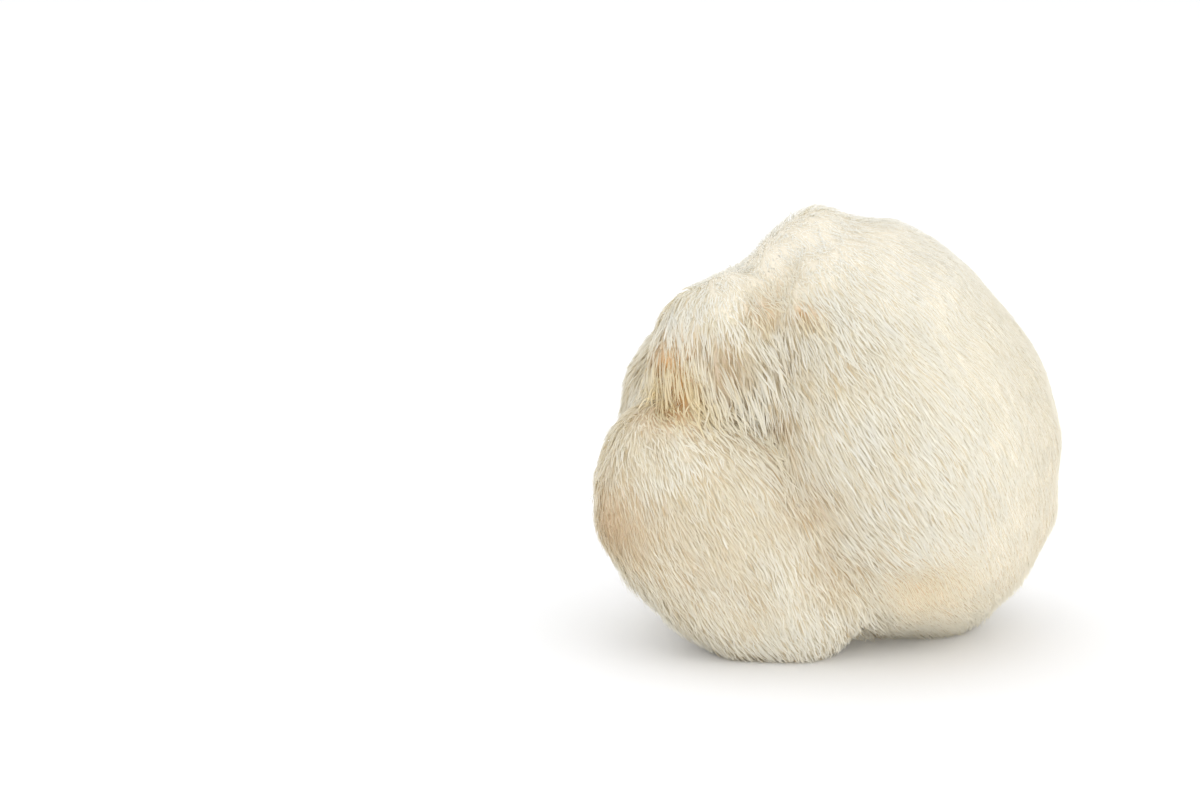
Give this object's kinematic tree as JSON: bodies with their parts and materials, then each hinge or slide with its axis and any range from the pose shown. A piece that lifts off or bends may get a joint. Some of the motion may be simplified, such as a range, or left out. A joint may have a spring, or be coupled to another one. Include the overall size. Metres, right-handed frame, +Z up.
{
  "type": "lions mane mushroom",
  "caption": "Whole lion's mane mushroom: round lobes grown together under a mane of fine hanging spines, cut flat underneath so that it rests by itself.",
  "frame": {"origin": "on the flat cut that the mushroom rests on, under the middle of its head", "axes": "+Z up, away from the cut; -Y towards the side where the shoulder and the left lobe stand in front of the main lobe; +X to the right seen from that side"},
  "size_m": [0.1281, 0.1042, 0.1183],
  "materials": {
    "flesh": "matte, spongy cream flesh covered in fine spines"
  },
  "bodies": {
    "root": {"fruiting_body": "flesh"}
  },
  "joints": []
}
